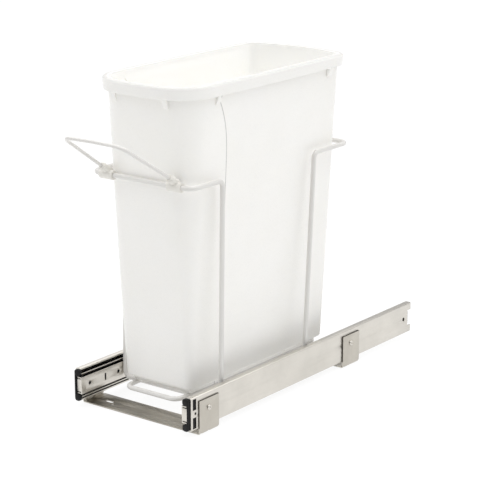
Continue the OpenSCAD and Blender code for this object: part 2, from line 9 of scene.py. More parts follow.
import bmesh
import bpy
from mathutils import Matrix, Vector


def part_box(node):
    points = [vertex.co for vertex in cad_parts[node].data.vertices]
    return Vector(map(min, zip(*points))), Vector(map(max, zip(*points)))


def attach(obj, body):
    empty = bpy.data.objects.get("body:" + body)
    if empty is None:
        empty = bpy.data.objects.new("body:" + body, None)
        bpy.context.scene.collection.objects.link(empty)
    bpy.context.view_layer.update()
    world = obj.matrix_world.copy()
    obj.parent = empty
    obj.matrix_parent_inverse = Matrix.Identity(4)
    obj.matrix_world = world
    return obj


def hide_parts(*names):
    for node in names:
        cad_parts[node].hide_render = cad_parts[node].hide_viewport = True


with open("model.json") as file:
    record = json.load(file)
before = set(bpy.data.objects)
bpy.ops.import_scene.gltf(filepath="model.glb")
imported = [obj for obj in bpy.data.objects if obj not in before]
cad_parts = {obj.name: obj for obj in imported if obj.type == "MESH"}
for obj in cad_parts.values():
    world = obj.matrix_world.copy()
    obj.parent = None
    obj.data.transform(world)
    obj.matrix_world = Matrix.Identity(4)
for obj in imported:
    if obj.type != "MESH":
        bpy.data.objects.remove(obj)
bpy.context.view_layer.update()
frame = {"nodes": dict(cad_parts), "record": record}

bl_info = {
    "name": "Pull-out bin frame",
    "version": (1, 0, 0),
    "blender": (4, 5, 0),
    "location": "3D View > Sidebar > Bin frame",
    "description": "Builds the finished pieces of a pull-out bin frame round its packed solids",
    "category": "Object",
}

MM = 0.001
SIDES = {"right": 1, "left": -1}
BODY_OF = {node: body for body, nodes in frame["record"]["behaviour"]["bodies"].items() for node in nodes}


def low(node):
    """Lowest corner of a packed node."""
    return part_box(node)[0]


def high(node):
    """Highest corner of a packed node."""
    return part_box(node)[1]


WIRE_R = (high("bottom_loop").z - low("bottom_loop").z) / 2
HOOP_Y = low("front_hoop").y + WIRE_R
HOOP_Z = high("front_hoop").z - WIRE_R
CROSS_Z = low("front_hoop").z + WIRE_R
LEG_X = high("front_hoop").x - WIRE_R
LEG_LEAN = {"front_hoop": math.radians(1.1), "rear_hoop": math.radians(3.9)}
LOOP_Z = high("bottom_loop").z - WIRE_R
RIM_Z = high("bin").z
SEAT_Z = low("bin").z
# power by which the front edge of a side panel sweeps forward under the rim
PANEL_CURVE = 2.5


def maker(kind, **fixed):
    """Makes properties of one kind from their words and their value."""
    return lambda words, value: kind(description=words, default=value, **fixed)


length = maker(bpy.props.FloatProperty, subtype="DISTANCE", unit="LENGTH")
angle = maker(bpy.props.FloatProperty, subtype="ANGLE", unit="ROTATION")
colour = maker(bpy.props.FloatVectorProperty, size=3, min=0.0, max=1.0, subtype="COLOR")
position = maker(bpy.props.FloatVectorProperty, size=3, subtype="TRANSLATION", unit="LENGTH")
share = maker(bpy.props.FloatProperty, min=0.0, max=1.0, subtype="FACTOR")
amount = maker(bpy.props.FloatProperty)
focal_length = maker(bpy.props.FloatProperty, unit="CAMERA")
power = maker(bpy.props.FloatProperty, unit="POWER")
whole = maker(bpy.props.IntProperty, min=2, max=48)


class BinFrameWires(bpy.types.PropertyGroup):
    """Sizes of the bent wires and their welds."""
    hoop_r: length("Bend radius of the hoop corners", 14 * MM)
    shoulder_r: length("Bend radius between a hoop and its legs", 8 * MM)
    foot_r: length("Bend radius between the legs and the cross wire", 9 * MM)
    loop_r: length("Corner radius of the bottom loop", 12 * MM)
    front_shoulder: length("Place of the front legs at the hoop", -107.5 * MM)
    rear_shoulder: length("Place of the rear legs at the hoop", 90 * MM)
    handle_d: length("Diameter of the handle wire", 4.5 * MM)
    handle_tilt: angle("Tilt of the handle above level at rest", math.radians(33))
    handle_lift: length("Handle wire above the middle of the hoop wire", 5 * MM)
    handle_start: length("Start of the handle wire out from the hoop", 9 * MM)
    handle_straight: length("Place where each arm turns inward", 26 * MM)
    handle_reach: length("Handle bar out from the hoop wire", 113.5 * MM)
    handle_bow: length("Bow of the handle bar", 3 * MM)
    handle_x: length("Each handle arm from the middle, at the clips", 55.5 * MM)
    handle_tip_x: length("Each handle corner from the middle", 47.5 * MM)
    handle_r: length("Corner radius of the handle", 17 * MM)
    arm_r: length("Bend radius of the arms near the clips", 60 * MM)
    bow_r: length("Bend radius in the middle of the bar", 150 * MM)
    bead: length("Half width of the bead squeezed out of a weld", 3.6 * MM)
    sides: whole("Faces round a wire", 20)
    bend_steps: whole("Points along a bend", 12)


class BinFrameBin(bpy.types.PropertyGroup):
    """Sizes of the moulded bin."""
    wall: length("Wall thickness", 2.4 * MM)
    overhang: length("Rim beyond the wall", 6.8 * MM)
    skirt: length("Height of the turned-down rim", 16 * MM)
    foot_w: length("Width of the base", 116 * MM)
    foot_len: length("Length of the base", 295 * MM)
    foot_y: length("Middle of the base", 2.5 * MM)
    foot_h: length("Height of the foot ring", 6.8 * MM)
    foot_inset: length("Foot ring inside the edge of the base", 8 * MM)
    foot_ring: length("Width of the foot ring", 10 * MM)
    panel_depth: length("Depth of the recessed side panels", 1.7 * MM)
    panel_front: length("Straight part of the front edge of a side panel", -88 * MM)
    panel_sweep: length("Forward sweep of that edge just under the rim", 21.5 * MM)
    panel_turn: length("Height where the edge starts to sweep forward", 336 * MM)
    rib_t: length("Thickness of the gussets under the rim", 7.5 * MM)
    rib_drop: length("Gussets below the skirt", 12 * MM)


class BinFrameSteel(bpy.types.PropertyGroup):
    """Edges and fasteners of the steel and plastic hardware."""
    sheet_edge: length("Rounding of the edges of pressed sheet", 0.3 * MM)
    roll_edge: length("Rounding of the edges of the slide members", 0.18 * MM)
    moulded_edge: length("Rounding of the edges of moulded hardware", 0.45 * MM)
    tongue_len: length("Length of the front bumper's tongue behind the windows", 14 * MM)
    tongue_h: length("Height of that tongue", 37 * MM)
    tongue_t: length("Thickness of that tongue", 0.9 * MM)
    rivet_head: length("Diameter of a rivet head", 7.6 * MM)
    rivet_height: length("Height of a rivet head", 1.4 * MM)
    rivet_crown: length("Diameter of the flat of a rivet head", 5 * MM)
    rivet_hollow: length("Diameter of the hollow in a rivet head", 2.4 * MM)
    screw_head: length("Diameter of a tab screw head", 8 * MM)
    screw_height: length("Height of a tab screw head", 2.4 * MM)
    screw_d: length("Diameter of a tab screw shank", 4 * MM)


class BinFrameFinishes(bpy.types.PropertyGroup):
    """Colours of the finishes."""
    zinc: colour("Plated steel of the slides, tabs and rivets", (0.74, 0.71, 0.655))
    zinc_dark: colour("Darker clouds in the plating", (0.65, 0.625, 0.575))
    bracket: colour("Plated steel of the brackets", (0.6, 0.57, 0.51))
    bracket_dark: colour("Darker clouds in that plating", (0.52, 0.49, 0.435))
    # painted shade on the flange edges and painted dark reflection on the floor strips
    sheared: colour("Cut edges of the bracket sheet", (0.12, 0.11, 0.095))
    steel: colour("Screws and balls", (0.74, 0.73, 0.71))
    coat: colour("Coating of the wires", (0.76, 0.745, 0.72))
    clip: colour("Plastic of the handle clips", (0.82, 0.80, 0.75))
    bin: colour("Plastic of the bin", (0.95, 0.935, 0.9))
    # a darker colour on the flat top of the rim only; the roughness is not changed
    rim: colour("Matt top of the bin's rim", (0.76, 0.75, 0.73))
    step: colour("Shade in the corner behind the edge of a side panel", (0.58, 0.57, 0.55))
    bin_glow: share("Share of the light that wanders inside the bin's wall", 0.4)
    bin_reach: length("How far light wanders inside the bin's wall", 3 * MM)
    # painted light: an emission glow on the bin's inside faces
    painted_inside_glow: share("Light that comes through the bin's wall to its inside", 0.1)
    painted_glow_colour: colour("Colour of that light", (0.92, 0.96, 1.0))
    # black also serves as painted shade in the slide races and in the clip slits
    black: colour("Front bumpers, ball cages and greased races", (0.008, 0.008, 0.009))
    rubber: colour("Rear bumpers", (0.012, 0.012, 0.0125))


class BinFrameStage(bpy.types.PropertyGroup):
    """Camera, floor and light."""
    camera: position("Place of the camera", (1.4710, -1.8725, 0.8622))
    turn: angle("Turn of the camera round the object", math.radians(37.34))
    pitch: angle("Camera looking down from level", math.radians(15.86))
    focal: focal_length("Focal length in millimetres", 132.98)
    floor: colour("Pale floor", (0.15, 0.15, 0.15))
    floor_glow: share("Light that the lit table gives off itself", 0.87)
    floor_reach: length("Half length of the floor", 9.0)
    sky: amount("Strength of the white surround", 0.56)
    zenith: amount("How many times brighter the surround is overhead", 3.0)
    dim: share("Share of the surround that is missing behind the camera", 0.7)
    key: power("Softbox at the right, in watts", 4.0)
    top: power("Softbox overhead, in watts", 9.0)


GROUPS = {
    "binframe_wires": BinFrameWires,
    "binframe_bin": BinFrameBin,
    "binframe_steel": BinFrameSteel,
    "binframe_finishes": BinFrameFinishes,
    "binframe_stage": BinFrameStage,
}


def smooth(x):
    """Eases from 0 to 1 as x goes from 0 to 1."""
    x = min(max(x, 0.0), 1.0)
    return x * x * (3 - 2 * x)


def blend(a, b, t):
    """Goes from a to b as t goes from 0 to 1."""
    return a + (b - a) * t


def feed(tree, socket, value):
    """Links a socket to another one, or sets it."""
    if isinstance(value, bpy.types.NodeSocket):
        tree.links.new(value, socket)
    else:
        socket.default_value = value


def add_node(tree, kind, inputs, **settings):
    """A node with its settings made and its inputs fed by name or place."""
    node = tree.nodes.new(kind)
    for name, value in settings.items():
        setattr(node, name, value)
    for name, value in inputs.items():
        feed(tree, node.inputs[name], value)
    return node


class Finish:
    """A material whose colour, roughness and relief come from noise on Object coordinates."""

    def __init__(self, name, metallic=0.0, coat=0.0):
        self.material = bpy.data.materials.new(name)
        self.material.use_nodes = True
        self.tree = self.material.node_tree
        self.shader = self.tree.nodes["Principled BSDF"]
        self.dress({"Metallic": metallic, "Coat Weight": coat, "Coat Roughness": 0.15})
        coordinates = self.tree.nodes.new("ShaderNodeTexCoord").outputs
        self.place, self.facing = coordinates["Object"], coordinates["Normal"]

    def dress(self, inputs):
        """Feeds inputs of the shader by name."""
        for name, value in inputs.items():
            feed(self.tree, self.shader.inputs[name], value)

    def noise(self, scale, stretch=(1.0, 1.0, 1.0), detail=2.0):
        """Noise with so many features a metre, drawn out where stretch is small."""
        mapping = add_node(self.tree, "ShaderNodeMapping", {"Vector": self.place, "Scale": stretch})
        return add_node(self.tree, "ShaderNodeTexNoise", {
            "Vector": mapping.outputs["Vector"], "Scale": scale, "Detail": detail}).outputs["Fac"]

    def mapped(self, noise, start, end):
        """Takes noise, which keeps mostly between two shares, to the range start to end."""
        least, most = 0.3, 0.7
        return add_node(self.tree, "ShaderNodeMapRange", {
            "Value": noise, "From Min": least, "From Max": most, "To Min": start, "To Max": end,
        }).outputs["Result"]

    def stain(self, mask, rgb):
        """Paints over the surface with a colour, as far as a mask says: the finish's own colour, and also
        painted shade.
        """
        node = add_node(self.tree, "ShaderNodeMix", {"Factor": mask}, data_type="RGBA")
        below, above = [s for s in node.inputs if s.type == "RGBA"]
        paint = self.shader.inputs["Base Color"]
        feed(self.tree, below, paint.links[0].from_socket if paint.links else paint.default_value)
        feed(self.tree, above, (*rgb, 1.0))
        self.dress({"Base Color": [s for s in node.outputs if s.type == "RGBA"][0]})

    def tint(self, noise, first, second):
        """Paints the surface with two colours, mixed by noise."""
        self.dress({"Base Color": (*first, 1.0)})
        self.stain(self.mapped(noise, 0.0, 1.0), second)

    def gloss(self, noise, start, end):
        """Lets noise vary the roughness."""
        self.dress({"Roughness": self.mapped(noise, start, end)})

    def relief(self, noise, depth, strength):
        """Adds bumps of a depth in metres."""
        bump = add_node(self.tree, "ShaderNodeBump", {
            "Height": noise, "Distance": depth, "Strength": strength})
        self.dress({"Normal": bump.outputs["Normal"]})

    def maths(self, operation, *values):
        """A value worked out from numbers and other values."""
        node = add_node(self.tree, "ShaderNodeMath", dict(enumerate(values)), operation=operation)
        return node.outputs["Value"]

    def axes(self, vector):
        """The three parts of a vector."""
        return list(add_node(self.tree, "ShaderNodeSeparateXYZ", {"Vector": vector}).outputs)

    def near(self, value, centre, reach):
        """1 where a value lies within a reach of a centre, or else 0."""
        return self.maths("COMPARE", value, centre, reach)

    def times(self, first, *others):
        """The product of values, which is also where masks overlap."""
        for other in others:
            first = self.maths("MULTIPLY", first, other)
        return first


def shaded(rgb, factor):
    """A colour made darker or lighter."""
    return tuple(min(c * factor, 1.0) for c in rgb)


def zinc_finish(name, stretch, light, dark):
    """Plated steel with cloudy colour and fine streaks along the way that it was rolled."""
    finish = Finish(name, metallic=1.0)
    streaks = finish.noise(scale=900.0, stretch=stretch, detail=3.0)
    finish.tint(finish.noise(scale=28.0, detail=3.0), dark, light)
    finish.gloss(streaks, start=0.3, end=0.42)
    finish.relief(streaks, depth=0.03 * MM, strength=0.2)
    return finish


def grained_finish(name, rgb, spread, roughness, grain=1400.0, depth=0.04 * MM, metallic=0.0, coat=0.0):
    """A moulded, coated or polished surface with cloudy colour and a fine grain."""
    vary = 0.05
    finish = Finish(name, metallic, coat)
    finish.tint(finish.noise(scale=14.0), shaded(rgb, 1 - spread), shaded(rgb, 1 + spread))
    fine = finish.noise(grain, detail=1.0)
    finish.gloss(fine, roughness - vary, roughness + vary)
    finish.relief(fine, depth, strength=0.3)
    return finish


def shade_races(finish, rgb):
    """Paints shade into the ball races between the slide members: two bands above and two below the middle.
    """
    spill, margin = 0.2 * MM, 0.6 * MM
    x, _, z = finish.axes(finish.place)
    lo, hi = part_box("outer_member_right")
    height = finish.maths("ABSOLUTE", finish.maths("SUBTRACT", z, (lo.z + hi.z) / 2))
    bands = []
    for balls, member in (("outer_balls_right", "intermediate_right"),
                          ("inner_balls_right", "inner_member_right")):
        ball_lo, ball_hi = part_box(balls)
        centre = (ball_hi.z - ball_lo.z) / 2 - (ball_hi.x - ball_lo.x) / 2
        bands.append(finish.near(height, centre, centre - (high(member).z - low(member).z) / 2 + spill))
    inside = finish.maths("LESS_THAN", finish.maths("ABSOLUTE", x), hi.x - margin)
    finish.stain(finish.times(finish.maths("MAXIMUM", *bands), inside), rgb)


def shade_bracket_edges(finish, rgb):
    """Paints shade on the front and top edges of the bracket flanges, and a weaker painted dark reflection on
    the floor strips.
    """
    edge, strip_t, strip_share = 0.35 * MM, 2.4 * MM, 0.33
    x, y, z = finish.axes(finish.place)
    # painted shade along the front and top edges of the flanges
    fronts = [finish.near(y, low(node).y, edge) for node in ("front_bracket", "rear_bracket")]
    above = finish.maths("GREATER_THAN", z, low("outer_member_right").z)
    front = finish.times(finish.maths("MAXIMUM", *fronts), above)
    finish.stain(finish.maths("MAXIMUM", front, finish.near(z, high("front_bracket").z, edge)), rgb)
    # painted dark reflection on the floor strips, a third as strong
    strip = finish.maths("LESS_THAN", z, low("front_bracket").z + strip_t)
    between = finish.near(x, 0.0, low("outer_member_right").x)
    finish.stain(finish.times(strip, between, strip_share), rgb)


def shade_slits(finish, rgb):
    """Paints shade into the slit along the saddle of each clip, found by how far out and up it lies on the
    handle.
    """
    wires = bpy.context.scene.binframe_wires
    half_w, up_middle, up_reach, out_middle, out_reach = 1.02 * MM, 7 * MM, 2.7 * MM, 0.5 * MM, 4.1 * MM
    x, y, z = finish.axes(finish.place)
    back, rise = finish.maths("SUBTRACT", y, HOOP_Y), finish.maths("SUBTRACT", z, HOOP_Z)
    cos, sin = math.cos(wires.handle_tilt), math.sin(wires.handle_tilt)
    up = finish.maths("ADD", finish.times(back, sin), finish.times(rise, cos))
    out = finish.maths("SUBTRACT", finish.times(rise, sin), finish.times(back, cos))
    beside = finish.near(finish.maths("ABSOLUTE", x), wires.handle_x, half_w)
    deep = finish.near(up, up_middle, up_reach)
    finish.stain(finish.times(beside, deep, finish.near(out, out_middle, out_reach)), rgb)


def darken_rim_top(finish, rgb):
    """Gives the flat top of the bin's rim a darker colour; its roughness stays the same."""
    top_skin = 1.2 * MM
    finish.stain(finish.near(finish.axes(finish.place)[2], RIM_Z, top_skin), rgb)


def outlook(finish):
    """How far the surface looks away from the bin's middle line; below zero on the inside."""
    across, along, _ = finish.axes(finish.facing)
    x, y, _ = finish.axes(finish.place)
    return finish.maths("ADD", finish.times(across, x), finish.times(along, y))


def shade_steps(finish, rgb):
    """Darkens the corner behind the front edge of each side panel of the bin."""
    behind, reach = 1.6 * MM, 1.0 * MM
    sizes = bpy.context.scene.binframe_bin
    skirt_z = RIM_Z - sizes.skirt
    _, y, z = finish.axes(finish.place)
    rise = finish.maths("DIVIDE", finish.maths("SUBTRACT", z, sizes.panel_turn), skirt_z - sizes.panel_turn)
    sweep = finish.maths("POWER", finish.maths("MAXIMUM", rise, 0.0), PANEL_CURVE)
    unswept = finish.maths("ADD", y, finish.times(sweep, sizes.panel_sweep))
    line = finish.near(unswept, sizes.panel_front + behind, reach)
    outside = finish.maths("GREATER_THAN", outlook(finish), 0.0)
    finish.stain(finish.times(line, outside, finish.maths("LESS_THAN", z, skirt_z)), rgb)


def paint_inside_glow(finish, strength, rgb):
    """Paints a glow on the faces that look inward, standing in for the light that comes through the bin's
    wall.
    """
    inward = finish.maths("LESS_THAN", outlook(finish), 0.0)
    finish.dress({"Emission Strength": finish.times(inward, strength), "Emission Color": (*rgb, 1.0)})


def finishes():
    """Makes every finish once and returns them by name."""
    scene = bpy.context.scene
    if scene.get("binframe_made"):
        return bpy.data.materials
    scene["binframe_made"] = True
    colours = scene.binframe_finishes
    along = zinc_finish("zinc_along", (1.0, 0.02, 1.0), colours.zinc, colours.zinc_dark)
    # painted shade: black in the gaps of the ball races
    shade_races(along, colours.black)
    across = zinc_finish("zinc_across", (0.02, 1.0, 1.0), colours.bracket, colours.bracket_dark)
    # painted shade on the bracket edges, painted dark reflection on the floor strips
    shade_bracket_edges(across, colours.sheared)
    grained_finish("polished_steel", colours.steel, spread=0.04, roughness=0.24, grain=500.0,
                   depth=0.02 * MM, metallic=1.0)
    grained_finish("coated_wire", colours.coat, spread=0.02, roughness=0.34, grain=700.0,
                   depth=0.08 * MM, coat=0.15)
    # painted shade: black inside the slit of each clip
    shade_slits(grained_finish("moulded_clip", colours.clip, spread=0.02, roughness=0.4), colours.black)
    tub = grained_finish("moulded_bin", colours.bin, spread=0.012, roughness=0.3, grain=1500.0)
    # a darker colour on the rim's flat top
    darken_rim_top(tub, colours.rim)
    shade_steps(tub, colours.step)
    # painted light: the inside faces of the bin glow
    paint_inside_glow(tub, colours.painted_inside_glow, colours.painted_glow_colour)
    tub.dress({"Subsurface Weight": colours.bin_glow, "Subsurface Radius": (1.0, 0.97, 0.92),
               "Subsurface Scale": colours.bin_reach})
    for dark in (grained_finish("moulded_black", colours.black, spread=0.2, roughness=0.45),
                 grained_finish("moulded_rubber", colours.rubber, spread=0.2, roughness=0.7)):
        dark.dress({"Specular IOR Level": 0.2})
    return bpy.data.materials


def linked(name, data):
    """A new object in the scene."""
    obj = bpy.data.objects.new(name, data)
    bpy.context.scene.collection.objects.link(obj)
    return obj


def settled(obj):
    """The mesh of an object after its modifiers."""
    bpy.context.view_layer.update()
    return bpy.data.meshes.new_from_object(obj.evaluated_get(bpy.context.evaluated_depsgraph_get()))


def piece(name, mesh, nodes, finish, stands=True):
    """Links a finished mesh as one piece that rides with its packed nodes and, as a rule, stands for them."""
    sharp = math.radians(38)
    obj = linked(name, mesh)
    if not mesh.polygons:
        raise RuntimeError(name + " has no faces")
    mesh.materials.clear()
    mesh.materials.append(finishes()[finish])
    mesh.polygons.foreach_set("use_smooth", [True] * len(mesh.polygons))
    mesh.set_sharp_from_angle(angle=sharp)
    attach(obj, BODY_OF[nodes[0]])
    if stands:
        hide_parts(*nodes)


def plain_mesh(name, points, edges=(), faces=()):
    """A mesh from lists."""
    mesh = bpy.data.meshes.new(name)
    mesh.from_pydata([tuple(p) for p in points], list(edges), list(faces))
    return mesh


def from_bmesh(name, bm):
    """A mesh from a bmesh, which is freed."""
    mesh = bpy.data.meshes.new(name)
    bm.to_mesh(mesh)
    bm.free()
    return mesh


def node_tree(name, inputs):
    """A geometry tree with named inputs, and its two ends."""
    tree = bpy.data.node_groups.new(name, "GeometryNodeTree")
    face = tree.interface
    face.new_socket("Geometry", in_out="INPUT", socket_type="NodeSocketGeometry")
    for label, kind in inputs.items():
        face.new_socket(label, in_out="INPUT", socket_type=kind)
    face.new_socket("Geometry", in_out="OUTPUT", socket_type="NodeSocketGeometry")
    return tree, tree.nodes.new("NodeGroupInput").outputs, tree.nodes.new("NodeGroupOutput").inputs


def attribute(tree, name, kind):
    """A named attribute of the points, as a field."""
    node = add_node(tree, "GeometryNodeInputNamedAttribute", {"Name": name}, data_type=kind)
    return node.outputs["Attribute"]


def close_tree(tree, geometry, out):
    """Ends a tree in real geometry."""
    real = add_node(tree, "GeometryNodeRealizeInstances", {"Geometry": geometry})
    tree.links.new(real.outputs["Geometry"], out["Geometry"])
    return tree


def wire_tree():
    """Sweeps a round wire along a path of points, each with its own bend radius."""
    tree, given, out = node_tree("bent_wire", {
        "Wire radius": "NodeSocketFloat", "Sides": "NodeSocketInt", "Bend steps": "NodeSocketInt"})
    path = add_node(tree, "GeometryNodeMeshToCurve", {"Mesh": given["Geometry"]})
    bends = add_node(tree, "GeometryNodeFilletCurve", {
        "Curve": path.outputs["Curve"], "Count": given["Bend steps"],
        "Radius": attribute(tree, "bend", "FLOAT")}, mode="POLY")
    ring = add_node(tree, "GeometryNodeCurvePrimitiveCircle", {
        "Resolution": given["Sides"], "Radius": given["Wire radius"]})
    sweep = add_node(tree, "GeometryNodeCurveToMesh", {
        "Curve": bends.outputs["Curve"], "Profile Curve": ring.outputs["Curve"], "Fill Caps": True})
    return close_tree(tree, sweep.outputs["Mesh"], out)


def repeat_tree():
    """Sets a shape on every point, turned to face the point's own way and scaled to its own size."""
    tree, given, out = node_tree("repeated_shape", {"Shape": "NodeSocketObject"})
    shape = add_node(tree, "GeometryNodeObjectInfo", {"Object": given["Shape"]})
    turn = add_node(tree, "FunctionNodeAlignRotationToVector", {
        "Vector": attribute(tree, "facing", "FLOAT_VECTOR")}, axis="X")
    copies = add_node(tree, "GeometryNodeInstanceOnPoints", {
        "Points": given["Geometry"], "Instance": shape.outputs["Geometry"],
        "Rotation": turn.outputs["Rotation"], "Scale": attribute(tree, "size", "FLOAT_VECTOR")})
    return close_tree(tree, copies.outputs["Instances"], out)


def grown(tree, seed, values):
    """Runs a tree on a seed mesh and returns the result as a plain mesh."""
    holder = linked("seed", seed)
    modifier = holder.modifiers.new("shape", "NODES")
    modifier.node_group = tree
    for item in tree.interface.items_tree:
        if item.name in values:
            modifier[item.identifier] = values[item.name]
    result = settled(holder)
    bpy.data.objects.remove(holder)
    return result


def wire(name, path, radii, radius, closed, node):
    """One bent wire as a piece: corner points, their bend radii and the wire's radius."""
    sizes = bpy.context.scene.binframe_wires
    ends = len(path) if closed else len(path) - 1
    seed = plain_mesh(name + "_path", path, [(i, (i + 1) % len(path)) for i in range(ends)])
    seed.attributes.new("bend", "FLOAT", "POINT").data.foreach_set("value", radii)
    mesh = grown(wire_tree(), seed, {
        "Wire radius": radius, "Sides": sizes.sides, "Bend steps": sizes.bend_steps})
    piece(name, mesh, [node], "coated_wire")


def repeated(name, shape, spots, nodes, finish, stands=True):
    """One piece made of copies of a shape, each spot a place, a way to face and a size."""
    seed = plain_mesh(name + "_spots", [spot[0] for spot in spots])
    for label, index in (("facing", 1), ("size", 2)):
        values = [number for spot in spots for number in spot[index]]
        seed.attributes.new(label, "FLOAT_VECTOR", "POINT").data.foreach_set("vector", values)
    pattern = bpy.data.objects.new(name + "_pattern", shape)
    mesh = grown(repeat_tree(), seed, {"Shape": pattern})
    bpy.data.objects.remove(pattern)
    piece(name, mesh, nodes, finish, stands)


def skin(bm, rings):
    """Adds a closed skin over rings of points. A ring may be one point, and the end rings are filled."""
    loops = [[bm.verts.new(point) for point in ring] for ring in rings]
    for first, second in zip(loops, loops[1:]):
        for i in range(max(len(first), len(second))):
            corners = [first[i % len(first)], first[(i + 1) % len(first)],
                       second[(i + 1) % len(second)], second[i % len(second)]]
            bm.faces.new(list(dict.fromkeys(corners)))
    for end in (loops[0][::-1], loops[-1]):
        if len(end) > 1:
            bm.faces.new(end)


def loft(name, rings):
    """A closed mesh over rings of points."""
    bm = bmesh.new()
    skin(bm, rings)
    bmesh.ops.recalc_face_normals(bm, faces=bm.faces)
    return from_bmesh(name, bm)


def turned(name, outline, steps):
    """A solid of revolution about X from points of (along, radius) that start and end on X."""
    around = [math.tau * i / steps for i in range(steps)]
    return loft(name, [[(along, r * math.cos(a), r * math.sin(a)) for a in around] if r else [(along, 0, 0)]
                       for along, r in outline])


def ball():
    """A ball of radius 1 that can still be edited."""
    bm = bmesh.new()
    bmesh.ops.create_icosphere(bm, subdivisions=3, radius=1.0)
    return bm


def eased_copy(node, suffix, edge, finish, extra=None):
    """A packed node with its sharp edges rounded over, joined to an extra mesh if there is one."""
    merge, flat, keen = 1e-6, math.radians(0.4), math.radians(40)
    name = node + suffix
    bm = bmesh.new()
    bm.from_mesh(frame["nodes"][node].data)
    bmesh.ops.remove_doubles(bm, verts=bm.verts, dist=merge)
    bmesh.ops.dissolve_limit(bm, angle_limit=flat, verts=bm.verts, edges=bm.edges)
    edges = [e for e in bm.edges if e.is_manifold and e.calc_face_angle() > keen]
    bmesh.ops.bevel(bm, geom=edges, offset=edge, offset_type="OFFSET", segments=2, profile=0.5,
                    affect="EDGES", clamp_overlap=False)
    lo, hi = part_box(node)
    for vert in bm.verts:
        vert.co = [min(max(c, a), b) for c, a, b in zip(vert.co, lo, hi)]
    mesh = from_bmesh(name, bm)
    piece(name, joined(name, mesh, extra) if extra else mesh, [node], finish)


